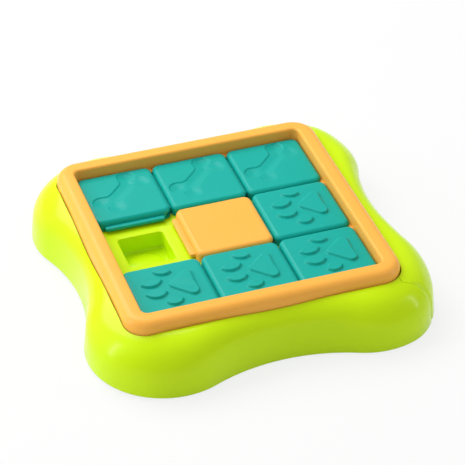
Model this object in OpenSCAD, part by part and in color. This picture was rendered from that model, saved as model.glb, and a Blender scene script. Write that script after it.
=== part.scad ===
// Sliding tile treat puzzle for dogs.
// A lobed base carries a square frame with room for nine tiles. Eight tiles hide treat wells
// and slide into the one empty cell. The right-hand cover pulls off and unlocks the frame.
// Origin: centre of the base, on the surface that the feet stand on.
// X runs along the front rail to the right, Y to the back, Z up. All sizes are in millimetres.

/* [Tile field] */
// distance between the centres of neighbouring cells
cell_pitch = 60; // [50:0.5:72]
// air between neighbouring tiles, and between a tile and the frame
tile_play = 0.6; // [0.4:0.1:1.2]
// height of the board's surface above the ground
board_z = 33.5; // [28:0.5:45]
// air between faces that slide on each other
slide_gap = 0.3; // [0.2:0.05:0.5]

/* [Tiles] */
// height of a tile from its underside to its flat top
tile_h = 8.2; // [7:0.1:12]
// radius of a tile's corners seen from above
tile_corner_r = 6; // [4:0.5:9]
// rounding of a tile's top edge
tile_edge_r = 3.4; // [1:0.1:3.6]
// thickness of the slide plate under each tile
plate_t = 1.2; // [1:0.1:2]
// wall thickness of the hollow tile caps
cap_wall = 2.4; // [1.6:0.1:3]
// how far a tongue reaches out of its tile
tongue_reach = 4; // [2.5:0.25:5]
// length of a tongue along its tile's side
tongue_length = 46; // [30:1:50]
// thickness of a tongue
tongue_t = 2.7; // [2:0.1:3.5]
// radius of the pins that join a plate to its cap
pin_r = 2; // [1.5:0.1:2.5]
// depth of the bone reliefs along their back edge
bone_depth = 1.4; // [0.6:0.1:1.6]
// depth of the bone reliefs along their front edge
bone_shallow = 0.2; // [0.1:0.05:0.5]
// height of the paw reliefs at their domes
paw_rise = 1.6; // [0.8:0.1:2.5]

/* [Frame] */
// width of the frame's rails seen from above
rail_w = 13.6; // [11:0.2:20]
// height of the frame above the board
frame_h = 16.5; // [13:0.5:24]
// radius of the frame's inner corners
frame_inner_r = 5; // [2:0.5:6]
// rounding of the frame's outer top edge
rail_outer_r = 6.5; // [3:0.25:7]
// rounding of the frame's inner top edge
rail_inner_r = 2; // [0.5:0.25:3]
// wall thickness left round the channel under the frame
rail_wall = 2.4; // [1.6:0.1:3.5]
// air between the frame and the base round it
frame_gap = 0.3; // [0.2:0.05:0.5]

/* [Base] */
// depth of the frame's pocket, from the base's top surface to the board
pocket_depth = 8; // [5:0.5:12]
// radius of the four lobes at the base's rim
lobe_r = 57.5; // [45:0.5:75]
// how far the lobes' centres lie inside the frame's front and back edges
lobe_in_y = 30.6; // [20:0.2:40]
// how far the left lobes' centres lie inside the frame's left edge
lobe_in_left = 33.6; // [22:0.2:40]
// how far the right lobes' centres lie inside the frame's right edge
lobe_in_right = 22.6; // [14:0.2:34]
// how far the middle of each side lies inside the line along the lobes' outermost points
waist_in = 15; // [6:0.5:16]
// slope of the outer wall from upright
draft_angle = 5.5; // [1:0.5:8]
// rounding of the base's top edge at the waists
shoulder_r = 10; // [6:0.5:14]
// rounding of the base's top edge at the lobes' outermost corners
soft_r = 20; // [14:0.5:24]
// wall thickness of the base and its cover
wall_t = 2.6; // [1.8:0.1:3.5]

/* [Treat wells] */
// side of the square wells
well_size = 35; // [24:1:44]
// depth of the wells below the board
well_depth = 14.5; // [8:0.5:20]
// radius of the wells' corners
well_corner_r = 3; // [1:0.5:8]
// wall thickness round the wells
well_wall = 2.2; // [1.5:0.1:3]
// height of the low dome on a well's floor
well_dome = 1.6; // [0:0.1:2]
// radius of the dome, as a share of the well's side
dome_share = 0.4; // [0.2:0.02:0.48]

/* [Side cover] */
// how far the cover reaches past the frame's corners, in front and at the back
cover_over = 2.8; // [1:0.1:4]
// how far the cover's ends flare outward, in degrees from the X direction
cover_flare = 9.6; // [4:0.2:14]
// how far the cover's blades reach into the frame
blade_reach = 11.5; // [6:0.5:13]
// width of a locking blade
blade_w = 24; // [12:1:36]
// distance of the blades and of the frame's lugs from the middle, as a share of the cell pitch
blade_share = 0.75; // [0.5:0.05:1]
// how far the frame's lugs reach into the base on the left
lug_reach = 2.4; // [1.5:0.1:2.6]

/* [Floor and feet] */
// height of the base's rim above the ground, which is how far the feet stand out
rim_z = 1.2; // [0.8:0.1:2.5]
// thickness of the floor plate
floor_t = 2.4; // [2:0.1:4]
// radius of a rubber foot
foot_r = 9; // [6:0.5:12]
// depth of a foot's recess in the floor
foot_recess = 1; // [0.5:0.1:1.5]
// radius of a screw's shank
screw_r = 1.35; // [1:0.05:2]
// radius of a screw's head
screw_head_r = 3; // [2.4:0.1:4]
// length of a screw below its head
screw_length = 12; // [8:1:18]

/* [Hidden] */

GREEN = [0.68, 0.84, 0.10];
TEAL = [0.20, 0.72, 0.66];
ORANGE = [0.98, 0.70, 0.33];
STEEL = [0.70, 0.71, 0.73];
RUBBER = [0.16, 0.17, 0.17];

// tile field and frame
field_half = 1.5 * cell_pitch;
tile_half = (cell_pitch - tile_play) / 2;
frame_half = field_half + rail_w;
frame_outer_r = frame_inner_r + rail_w;
tile_z = board_z + slide_gap;

// grooves are a sliding gap larger than the tongues on every side
groove_z = tile_z + plate_t;
tongue_z = groove_z + slide_gap;
groove_h = tongue_t + 2 * slide_gap;
groove_depth = tongue_reach + 0.4;
lip_z = groove_z + groove_h;

// base
base_top = board_z + pocket_depth;
waist = lobe_r - waist_in;
lobe_y = frame_half - lobe_in_y;
lobe_left = frame_half - lobe_in_left;
lobe_right = frame_half - lobe_in_right;
pocket_half = frame_half + frame_gap;
tray_wall = 2.4;
tray_half = pocket_half + tray_wall;
board_t = 2.6;
rib_t = 2;
rib_drop = 8;
floor_top = rim_z + floor_t;
// the tool for the lobes' wider rounding turns about an axis this far behind the lobe's own
soft_shift = 20;
soft_reach = 75;
// a length that reaches out of the base from anywhere inside it
far = 80;

// side cover: its flat back, the wall of the base behind it and its lip over that wall
cover_gap = 0.3;
cover_half = frame_half + cover_over;
blade_y = blade_share * cell_pitch;
bay_x = tray_half + 0.95;
cover_x = bay_x + cover_gap;
lip_over = 5.1;
lip_x = frame_half - lip_over;
lip_under = base_top - wall_t;
bay_wall_x = bay_x - wall_t;
cover_bottom = rim_z + 0.6;
blade_t = 2.4;
blade_drop = 0.6;
blade_z = lip_under - blade_drop - blade_t;

// floor screws
boss_r = 4.5;
pilot_r = screw_r + 0.05;
head_h = 1.1;
hole_gap = 0.35;
cross_w = 0.7;
corner_screw = 1.4 * cell_pitch;
middle_screw = field_half + 7;
screw_spots = [[-corner_screw, -corner_screw], [-corner_screw, corner_screw],
    [corner_screw, -corner_screw], [corner_screw, corner_screw], [0, -middle_screw], [0, middle_screw]];
foot_out = 25;
foot_edge = 0.8;
foot_left = -lobe_left - foot_out;
foot_right = bay_wall_x - foot_r - 2 * wall_t;
foot_y = lobe_y + foot_out;
foot_spots = [[foot_left, -foot_y], [foot_left, foot_y], [foot_right, -foot_y], [foot_right, foot_y]];

// pins between cap and plate, clear of the grooved sides
pin_near = tile_half - 7.7;
pin_far = tile_half - groove_depth - 7.3;
pin_h = 3;

$fn = 96;

// ---- plane shapes ----

// rectangle with round corners, centred
module round_rect(w, d, r) {
    square([w - 2 * r, d], center = true);
    square([w, d - 2 * r], center = true);
    for (x = [-1, 1], y = [-1, 1])
        translate([x * (w / 2 - r), y * (d / 2 - r)])
            circle(r);
}

// outer tangent of two discs [x, y, r], on the right of the way from a to b, a hair inside them
function tangent(a, b) =
    let (dx = b[0] - a[0], dy = b[1] - a[1],
         turn = atan2(dy, dx) - acos((a[2] - b[2]) / norm([dx, dy])))
    [[a[0] + (a[2] - hair) * cos(turn), a[1] + (a[2] - hair) * sin(turn)],
     [b[0] + (b[2] - hair) * cos(turn), b[1] + (b[2] - hair) * sin(turn)]];

// the shape that a band drawn tight round the discs would have, discs in counterclockwise order
module banded(discs) {
    n = len(discs);
    polygon([for (i = [0 : n - 1]) each tangent(discs[i], discs[(i + 1) % n])]);
    for (d = discs)
        translate([d[0], d[1]])
            circle(d[2]);
}

// what is drawn about the tile field's centre, moved to lie about the base's centre
module about_base() {
    translate([-mid_x, 0, 0])
        children();
}

// ---- lobed body of the base ----

// distance from a side's waist to the centre of the arc that draws it, for lobes 2 * span apart
function side_r(span) = (span * span + waist * waist - lobe_r * lobe_r) / (2 * (lobe_r - waist));

// half the distance between the lobes along the front, and along the left and right sides
span_x = (lobe_left + lobe_right) / 2;
span_y = lobe_y;
mid_x = (lobe_right - lobe_left) / 2;
// angle at which a lobe passes into its front or back side, and into its left or right side
turn_x = atan2(span_x, waist + side_r(span_x));
turn_y = atan2(span_y, waist + side_r(span_y));

// how far the side arcs overlap the lobes, and straight lines the arcs they run into,
// so that the faces cross instead of merely touching
blend = 0.15;
hair = 0.02;

// half-section of a lobe; inset is the distance of the surface behind the outer one
module lobe_section(inset, low, top) {
    r = shoulder_r - inset;
    zc = top - r + hair;
    foot = lobe_r - inset / cos(draft_angle) - (low - rim_z) * tan(draft_angle);
    xc = foot - (zc - low) * tan(draft_angle) - (r - hair) / cos(draft_angle);
    intersection() {
        union() {
            polygon([[0, low], [foot, low],
                [xc + (r - hair) * cos(draft_angle), zc + (r - hair) * sin(draft_angle)],
                [xc, zc], [xc, top + 1], [0, top + 1]]);
            translate([xc, zc])
                circle(r);
        }
        translate([0, low])
            square([lobe_r + 1, top - low]);
    }
}

// half-section of the round tool that carves a side, r_side its radius at the rim
module side_section(inset, low, top, r_side) {
    r = shoulder_r - inset;
    zc = top - r + hair;
    foot = r_side + blend + inset / cos(draft_angle) + (low - rim_z) * tan(draft_angle);
    xc = foot + (zc - low) * tan(draft_angle) + (r - hair) / cos(draft_angle);
    difference() {
        polygon([[0, low - 1], [foot - tan(draft_angle), low - 1],
            [xc - (r - hair) * cos(draft_angle), zc + (r - hair) * sin(draft_angle)],
            [xc, zc], [xc, top + 1], [0, top + 1]]);
        translate([xc, zc])
            circle(r);
    }
}

// half-section of the tool that widens the rounding of a lobe's outermost corner
module soft_section(inset, low, top) {
    r = soft_r - inset;
    zc = top - r + hair;
    foot = lobe_r + soft_shift - inset / cos(draft_angle) - (low - rim_z) * tan(draft_angle);
    xc = foot - (zc - low) * tan(draft_angle) - (r - hair) / cos(draft_angle);
    difference() {
        polygon([[xc, zc],
            [xc + (r - hair) * cos(draft_angle), zc + (r - hair) * sin(draft_angle)],
            [foot + 1, zc + (r - hair) * sin(draft_angle)], [foot + 1, top + 1], [xc, top + 1]]);
        translate([xc, zc])
            circle(r);
    }
}

// body with four lobes; the rounding of its top edge widens from the waists to the lobes' corners
module lobed_body(inset, low, top) {
    difference() {
        evenly_rounded_body(inset, low, top);
        for (x = [-1, 1], y = [-1, 1])
            translate([mid_x + x * span_x, y * span_y, 0])
                rotate([0, 0, atan2(y, x) - soft_reach])
                    translate([-soft_shift * cos(soft_reach), -soft_shift * sin(soft_reach), 0])
                        rotate_extrude(angle = 2 * soft_reach)
                            soft_section(inset, low, top);
    }
}

module evenly_rounded_body(inset, low, top) {
    reach_x = lobe_r * sin(turn_x);
    rise_x = lobe_r * cos(turn_x);
    reach_y = lobe_r * sin(turn_y);
    rise_y = lobe_r * cos(turn_y);
    for (x = [-lobe_left, lobe_right], y = [-lobe_y, lobe_y])
        translate([x, y, 0])
            rotate_extrude()
                lobe_section(inset, low, top);
    difference() {
        translate([0, 0, low])
            linear_extrude(top - low)
                polygon([
                    [lobe_right, -lobe_y],
                    [lobe_right + rise_y, -lobe_y + reach_y], [lobe_right + rise_y, lobe_y - reach_y],
                    [lobe_right, lobe_y],
                    [lobe_right - reach_x, lobe_y + rise_x], [-lobe_left + reach_x, lobe_y + rise_x],
                    [-lobe_left, lobe_y],
                    [-lobe_left - rise_y, lobe_y - reach_y], [-lobe_left - rise_y, -lobe_y + reach_y],
                    [-lobe_left, -lobe_y],
                    [-lobe_left + reach_x, -lobe_y - rise_x], [lobe_right - reach_x, -lobe_y - rise_x]]);
        for (side = [-1, 1])
            translate([mid_x, side * (lobe_y + waist + side_r(span_x)), 0])
                rotate_extrude()
                    side_section(inset, low, top, side_r(span_x));
        translate([lobe_right + waist + side_r(span_y), 0, 0])
            rotate_extrude()
                side_section(inset, low, top, side_r(span_y));
        translate([-lobe_left - waist - side_r(span_y), 0, 0])
            rotate_extrude()
                side_section(inset, low, top, side_r(span_y));
    }
}

// ---- base ----

// distance of the cover's ends from the middle at x; gap moves them outward
function cover_end(x, gap) = cover_half + (x - cover_x) * tan(cover_flare) + gap / cos(cover_flare);

// plan of all that lies beyond x and between the cover's ends
module cover_plan(x, gap) {
    polygon([[x, -cover_end(x, gap)], [x + far, -cover_end(x + far, gap)],
        [x + far, cover_end(x + far, gap)], [x, cover_end(x, gap)]]);
}

// room of the side cover; grow moves its faces outward, so one block cuts and one keeps a wall
module bay(grow) {
    translate([0, 0, -1])
        linear_extrude(base_top + 2)
            cover_plan(bay_x - grow, cover_gap + grow);
}

// plan of the cover's lip: it runs up to the frame and round the frame's corners
module lip_plan() {
    difference() {
        cover_plan(lip_x, 0);
        round_rect(2 * (frame_half + frame_gap), 2 * (frame_half + frame_gap), frame_outer_r + frame_gap);
    }
}

module tray_block() {
    translate([0, 0, board_z - board_t])
        linear_extrude(base_top - board_z + board_t + 1)
            round_rect(2 * tray_half, 2 * tray_half, frame_outer_r + tray_wall);
}

module well_block(x, y) {
    outer = well_size + 2 * well_wall;
    translate([x * cell_pitch, y * cell_pitch, board_z - well_depth - well_wall])
        linear_extrude(well_depth + well_wall)
            round_rect(outer, outer, well_corner_r + well_wall);
}

// the hollow of a well, with the low dome left standing on its floor
module well_hollow(x, y) {
    dome_r = dome_share * well_size;
    ball_r = (dome_r * dome_r + well_dome * well_dome) / (2 * max(well_dome, 0.01));
    translate([x * cell_pitch, y * cell_pitch, board_z - well_depth])
        difference() {
            linear_extrude(well_depth + 1)
                round_rect(well_size, well_size, well_corner_r);
            if (well_dome > 0)
                translate([0, 0, well_dome - ball_r])
                    sphere(ball_r, $fn = 180);
        }
}

module stiffeners() {
    for (k = [-0.5, 0.5]) {
        translate([k * cell_pitch - rib_t / 2, -tray_half, board_z - board_t - rib_drop])
            cube([rib_t, 2 * tray_half, rib_drop + 1]);
        translate([-tray_half, k * cell_pitch - rib_t / 2, board_z - board_t - rib_drop])
            cube([tray_half + bay_wall_x, rib_t, rib_drop + 1]);
    }
}

module base_shell() {
    color(GREEN)
    about_base()
    difference() {
        lobed_body(0, rim_z, base_top);
        // hollow inside, closed round the board, the wells, the cover's bay and the screw bosses
        difference() {
            lobed_body(wall_t, rim_z - 1, lip_under);
            bay(wall_t);
            tray_block();
            stiffeners();
            for (x = [-1 : 1], y = [-1 : 1])
                well_block(x, y);
            for (p = screw_spots)
                translate([p[0], p[1], floor_top])
                    cylinder(h = board_z - floor_top, r = boss_r);
        }
        // pocket of the frame and the wells in the board
        translate([0, 0, board_z])
            linear_extrude(pocket_depth + 1)
                round_rect(2 * pocket_half, 2 * pocket_half, frame_outer_r + frame_gap);
        for (x = [-1 : 1], y = [-1 : 1])
            well_hollow(x, y);
        // bay of the side cover, with a ledge under the cover's lip
        bay(0);
        translate([0, 0, lip_under - cover_gap])
            linear_extrude(wall_t + 2)
                cover_plan(lip_x - cover_gap, cover_gap);
        // notches for the cover's blades and slots for the frame's lugs
        for (y = [-blade_y, blade_y]) {
            translate([field_half, y - blade_w / 2 - slide_gap, blade_z - slide_gap])
                cube([bay_x - field_half + 1, blade_w + 2 * slide_gap, 10]);
            translate([-pocket_half - lug_reach, y - blade_w / 2 - slide_gap, blade_z - slide_gap])
                cube([lug_reach + 1, blade_w + 2 * slide_gap, blade_t + 2 * slide_gap]);
        }
        // pilot holes of the floor screws
        for (p = screw_spots)
            translate([p[0], p[1], floor_top - 1])
                cylinder(h = screw_length + 2, r = pilot_r);
    }
}

module base_floor() {
    color(GREEN)
    about_base()
    difference() {
        intersection() {
            lobed_body(wall_t + frame_gap, rim_z, base_top);
            translate([0, 0, rim_z])
                linear_extrude(floor_t)
                    square(4 * far, center = true);
        }
        bay(wall_t + frame_gap);
        for (p = screw_spots)
            translate([p[0], p[1], rim_z - 1]) {
                cylinder(h = floor_t + 2, r = screw_r + hole_gap);
                cylinder(h = head_h + 1.1, r = screw_head_r + hole_gap);
            }
        for (p = foot_spots)
            translate([p[0], p[1], rim_z - 1])
                cylinder(h = foot_recess + 1, r = foot_r + 0.2);
    }
}

module floor_screws() {
    color(STEEL)
    about_base()
    for (p = screw_spots)
        translate([p[0], p[1], rim_z + 0.1])
            difference() {
                union() {
                    cylinder(h = head_h, r = screw_head_r);
                    cylinder(h = head_h + screw_length, r = screw_r);
                }
                // cross recess
                for (a = [0, 90])
                    rotate([0, 0, a])
                        translate([-screw_head_r / 2, -cross_w / 2, -1])
                            cube([screw_head_r, cross_w, 1 + cross_w]);
            }
}

module rubber_feet() {
    color(RUBBER)
    about_base()
    for (p = foot_spots)
        translate([p[0], p[1], 0]) {
            cylinder(h = rim_z + foot_recess, r = foot_r - foot_edge);
            translate([0, 0, foot_edge])
                cylinder(h = rim_z + foot_recess - foot_edge, r = foot_r);
        }
}

// ---- side cover ----

module side_cover() {
    color(GREEN)
    about_base() {
        difference() {
            intersection() {
                lobed_body(0, rim_z, base_top);
                union() {
                    translate([0, 0, cover_bottom])
                        linear_extrude(base_top)
                            cover_plan(cover_x, 0);
                    translate([0, 0, lip_under])
                        linear_extrude(wall_t + 1)
                            lip_plan();
                }
            }
            // hollow, open towards the base
            intersection() {
                lobed_body(wall_t, rim_z, lip_under);
                translate([0, 0, cover_bottom + wall_t])
                    linear_extrude(base_top)
                        cover_plan(cover_x - 1, -wall_t);
            }
        }
        // locking blades, hung from the cover's top
        for (y = [-blade_y, blade_y]) {
            translate([frame_half - blade_reach, y - blade_w / 2, blade_z])
                cube([cover_x + 8 - frame_half + blade_reach, blade_w, blade_t]);
            translate([cover_x, y - blade_w / 2, blade_z])
                cube([8, blade_w, lip_under - blade_z + 0.5]);
        }
    }
}

// ---- frame ----

// sweeps a section round a square; the section's x is measured from the corners' centres
module square_sweep(half, corner_r) {
    run = half - corner_r;
    for (a = [0 : 90 : 270])
        rotate([0, 0, a]) {
            translate([run, run, 0])
                rotate_extrude(angle = 90)
                    children();
            translate([run, run, 0])
                rotate([90, 0, 0])
                    linear_extrude(2 * run)
                        children();
        }
}

module rail_section() {
    translate([frame_inner_r, 0]) {
        square([rail_w, frame_h - rail_outer_r]);
        square([rail_w - rail_outer_r, frame_h - rail_inner_r]);
        translate([rail_inner_r, 0])
            square([rail_w - rail_inner_r - rail_outer_r, frame_h]);
        translate([rail_inner_r, frame_h - rail_inner_r])
            circle(rail_inner_r);
        translate([rail_w - rail_outer_r, frame_h - rail_outer_r])
            circle(rail_outer_r);
    }
}

// the channel that keeps the rails' walls even, open at the bottom
module channel_section() {
    inner = groove_depth + 2;
    translate([frame_inner_r + inner, -1])
        square([rail_w - inner - rail_wall, frame_h - 1.6 * rail_wall + 1]);
}

module tile_frame() {
    run = field_half - frame_inner_r;
    color(ORANGE)
    about_base()
    difference() {
        union() {
            translate([0, 0, board_z])
                square_sweep(frame_half, frame_outer_r)
                    difference() {
                        rail_section();
                        channel_section();
                    }
            // rails on the right and at the back, which run in the tiles' grooves
            translate([field_half - tongue_reach, -run, tongue_z])
                cube([tongue_reach + 1, 2 * run, tongue_t]);
            translate([-run, field_half - tongue_reach, tongue_z])
                cube([2 * run, tongue_reach + 1, tongue_t]);
            // lugs that hook into the base on the left
            for (y = [-blade_y, blade_y])
                translate([-frame_half - lug_reach + 0.3, y - blade_w / 2, blade_z])
                    cube([lug_reach + 1, blade_w, blade_t]);
        }
        // grooves on the left and in front, which take the tiles' tongues
        translate([-field_half - groove_depth, -field_half, groove_z])
            cube([groove_depth + 1, 2 * run + frame_inner_r, groove_h]);
        translate([-field_half, -field_half - groove_depth, groove_z])
            cube([2 * run + frame_inner_r, groove_depth + 1, groove_h]);
        // slots that take the cover's blades
        for (y = [-blade_y, blade_y])
            translate([frame_half - blade_reach - slide_gap, y - blade_w / 2 - slide_gap, blade_z - slide_gap])
                cube([blade_reach + 1, blade_w + 2 * slide_gap, blade_t + 2 * slide_gap]);
    }
}

// ---- tiles ----

module at_cell(x, y) {
    about_base()
        translate([x * cell_pitch, y * cell_pitch, tile_z])
            children();
}

// section of a cap's overhanging top, measured from the corners' centres
module lip_section(h) {
    square([tile_corner_r, h - tile_edge_r]);
    square([tile_corner_r - tile_edge_r, h]);
    translate([tile_corner_r - tile_edge_r, h - tile_edge_r])
        intersection() {
            circle(tile_edge_r);
            square(tile_edge_r + 1);
        }
}

module tongue_plan() {
    translate([-tongue_reach / 2, 0])
        round_rect(tongue_reach, tongue_length, 1.8);
    translate([-tongue_reach / 2, -tongue_length / 2])
        square([tongue_reach / 2 + 2, tongue_length]);
}

// the cap without its relief: core, overhanging top, and tongues on the left and in front
module plain_cap() {
    top_h = tile_h - (lip_z - tile_z);
    run = tile_half - tile_corner_r;
    core_far = tile_half - groove_depth;
    difference() {
        union() {
            translate([0, 0, lip_z - tile_z]) {
                square_sweep(tile_half, tile_corner_r)
                    lip_section(top_h);
                translate([-run, -run, 0])
                    cube([2 * run, 2 * run, top_h]);
            }
            translate([0, 0, plate_t])
                linear_extrude(lip_z - tile_z - plate_t)
                    translate([(core_far - tile_half) / 2, (core_far - tile_half) / 2])
                        round_rect(core_far + tile_half, core_far + tile_half, tile_corner_r);
            translate([0, 0, tongue_z - tile_z])
                linear_extrude(tongue_t) {
                    translate([-tile_half, 0])
                        tongue_plan();
                    translate([0, -tile_half])
                        rotate([0, 0, 90])
                            tongue_plan();
                }
        }
        // hollow under the top, with bosses left for the plate's pins
        difference() {
            translate([-tile_half + cap_wall, -tile_half + cap_wall, 0])
                cube([tile_half + core_far - 2 * cap_wall, tile_half + core_far - 2 * cap_wall,
                    tile_h - cap_wall]);
            for (x = [-pin_near, pin_far], y = [-pin_near, pin_far])
                translate([x, y, 0])
                    cylinder(h = tile_h, r = 2 * pin_r, $fn = 48);
        }
        for (x = [-pin_near, pin_far], y = [-pin_near, pin_far])
            translate([x, y, 0])
                cylinder(h = plate_t + pin_h + 0.4, r = pin_r + 0.05, $fn = 48);
    }
}

// bone relief: where it lies, its knobs and its shaft
bone_at = [1.5, 3];
bone_angle = 36;
knob_r = 6.6;
knob_at = [15.5, 5.4];
shaft_w = 11;
bone_w = 2 * (knob_at[1] + knob_r);
bone_slope = atan((bone_depth - bone_shallow) / bone_w);

module bone_plan() {
    square([2 * knob_at[0], shaft_w], center = true);
    for (x = [-1, 1], y = [-1, 1])
        translate([x * knob_at[0], y * knob_at[1]])
            circle(knob_r, $fn = 64);
}

// the bone is scooped out: its floor slopes down to the back edge
module bone_cap() {
    difference() {
        plain_cap();
        translate([bone_at[0], bone_at[1], tile_h])
            rotate([0, 0, bone_angle])
                intersection() {
                    translate([0, 0, -2 * bone_depth])
                        linear_extrude(4 * bone_depth)
                            bone_plan();
                    translate([0, 0, -(bone_depth + bone_shallow) / 2])
                        rotate([-bone_slope, 0, 0])
                            linear_extrude(4 * bone_depth)
                                square(cell_pitch, center = true);
                }
    }
}

// paw relief: [x, y, half-length, half-width, angle] of each toe, and the discs of the pad
paw_toes = [[1.2, 19, 7.8, 4.2, -17], [-8.8, 9, 9.2, 5.1, 8], [-9.6, -3.6, 9.2, 5.4, -8], [1.6, -15.4, 8, 4.9, 3]];
paw_pad = [[6.2, 2.4, 4.6], [16, -8.4, 4.6], [14.6, 9.6, 6]];

// pointed oval between two arcs, domed by a ball
module toe(half_length, half_width, rise) {
    arc_r = (half_length * half_length + half_width * half_width) / (2 * half_width);
    ball_r = (half_length * half_length + rise * rise) / rise;
    intersection() {
        translate([0, arc_r - half_width, -1])
            cylinder(h = rise + 2, r = arc_r, $fn = 128);
        translate([0, half_width - arc_r, -1])
            cylinder(h = rise + 2, r = arc_r, $fn = 128);
        translate([0, 0, rise - ball_r])
            sphere(ball_r, $fn = 180);
    }
}

module paw_cap() {
    pad_ball = 90;
    plain_cap();
    translate([0, 0, tile_h]) {
        for (t = paw_toes)
            translate([t[0], t[1], 0])
                rotate([0, 0, t[4]])
                    toe(t[2], t[3], paw_rise);
        intersection() {
            translate([0, 0, -1])
                linear_extrude(paw_rise + 2)
                    banded(paw_pad);
            translate([12.3, 1, paw_rise - pad_ball])
                sphere(pad_ball, $fn = 180);
        }
    }
}

// slide plate, flat underneath, with pins that press into the cap
module slide_plate() {
    linear_extrude(plate_t)
        round_rect(2 * tile_half, 2 * tile_half, tile_corner_r);
    for (x = [-pin_near, pin_far], y = [-pin_near, pin_far])
        translate([x, y, 0])
            cylinder(h = plate_t + pin_h, r = pin_r, $fn = 48);
}

module tile_back_left() { color(TEAL) at_cell(-1, 1) bone_cap(); }
module tile_back_middle() { color(TEAL) at_cell(0, 1) bone_cap(); }
module tile_back_right() { color(TEAL) at_cell(1, 1) bone_cap(); }
module tile_centre() { color(ORANGE) at_cell(0, 0) plain_cap(); }
module tile_middle_right() { color(TEAL) at_cell(1, 0) paw_cap(); }
module tile_front_left() { color(TEAL) at_cell(-1, -1) paw_cap(); }
module tile_front_middle() { color(TEAL) at_cell(0, -1) paw_cap(); }
module tile_front_right() { color(TEAL) at_cell(1, -1) paw_cap(); }

module plate_back_left() { color(TEAL) at_cell(-1, 1) slide_plate(); }
module plate_back_middle() { color(TEAL) at_cell(0, 1) slide_plate(); }
module plate_back_right() { color(TEAL) at_cell(1, 1) slide_plate(); }
module plate_centre() { color(ORANGE) at_cell(0, 0) slide_plate(); }
module plate_middle_right() { color(TEAL) at_cell(1, 0) slide_plate(); }
module plate_front_left() { color(TEAL) at_cell(-1, -1) slide_plate(); }
module plate_front_middle() { color(TEAL) at_cell(0, -1) slide_plate(); }
module plate_front_right() { color(TEAL) at_cell(1, -1) slide_plate(); }

base_shell();
base_floor();
side_cover();
tile_frame();
tile_back_left();
tile_back_middle();
tile_back_right();
tile_centre();
tile_middle_right();
tile_front_left();
tile_front_middle();
tile_front_right();
plate_back_left();
plate_back_middle();
plate_back_right();
plate_centre();
plate_middle_right();
plate_front_left();
plate_front_middle();
plate_front_right();
floor_screws();
rubber_feet();
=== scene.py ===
from math import asin, atan2, cos, hypot, inf, pi, radians, sin, tan

import bmesh
import bpy
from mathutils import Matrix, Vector


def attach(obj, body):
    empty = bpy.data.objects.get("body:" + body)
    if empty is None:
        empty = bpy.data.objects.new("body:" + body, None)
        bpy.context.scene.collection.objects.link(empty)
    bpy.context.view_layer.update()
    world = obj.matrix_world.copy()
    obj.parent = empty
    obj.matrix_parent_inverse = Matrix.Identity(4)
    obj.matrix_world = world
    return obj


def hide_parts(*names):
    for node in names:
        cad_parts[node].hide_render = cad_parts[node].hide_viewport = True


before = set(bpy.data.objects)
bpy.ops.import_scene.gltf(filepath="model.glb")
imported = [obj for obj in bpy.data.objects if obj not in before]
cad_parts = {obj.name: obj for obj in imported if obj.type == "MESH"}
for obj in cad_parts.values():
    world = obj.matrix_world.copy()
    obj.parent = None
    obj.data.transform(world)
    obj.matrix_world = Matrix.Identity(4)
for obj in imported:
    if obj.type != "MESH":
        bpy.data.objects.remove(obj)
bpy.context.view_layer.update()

MM = 0.001

# ---- Base ----
# The lobed base is one moulding of lime green ABS, drafted so that it leaves its mould, with soft
# shoulders that are wide on the lobes and tight at the waists. A pocket in its top takes the frame,
# nine wells take the treats, and a bay on the right takes the side cover.

# Distances in mm for picking points by their place, and for points that count as one
NEAR = 0.1
HAIR = 0.01
# Noise scales per metre: a patch of tone is 40 mm wide, a grain of the mould's texture 1.1 mm
TONE_SCALE = 25
GRAIN_SCALE = 900
# Sockets of a Mix node that blends two colours
MIX_SHARE, MIX_FIRST, MIX_SECOND, MIX_RESULT = 0, 6, 7, 2


def linear(code):
    """An sRGB hex colour as linear red, green, blue and alpha."""
    shares = [int(code[i:i + 2], 16) / 255 for i in (1, 3, 5)]
    return [s / 12.92 if s <= 0.04045 else ((s + 0.055) / 1.055) ** 2.4 for s in shares] + [1]


def add_node(tree, kind, settings, links):
    """A node of this kind; settings names its properties and plain inputs, links its linked inputs."""
    node = tree.nodes.new(kind)
    for name, value in settings.items():
        if hasattr(node, name):
            setattr(node, name, value)
        else:
            node.inputs[name].default_value = value
    for name, source in links.items():
        tree.links.new(source, node.inputs[name])
    return node


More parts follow.
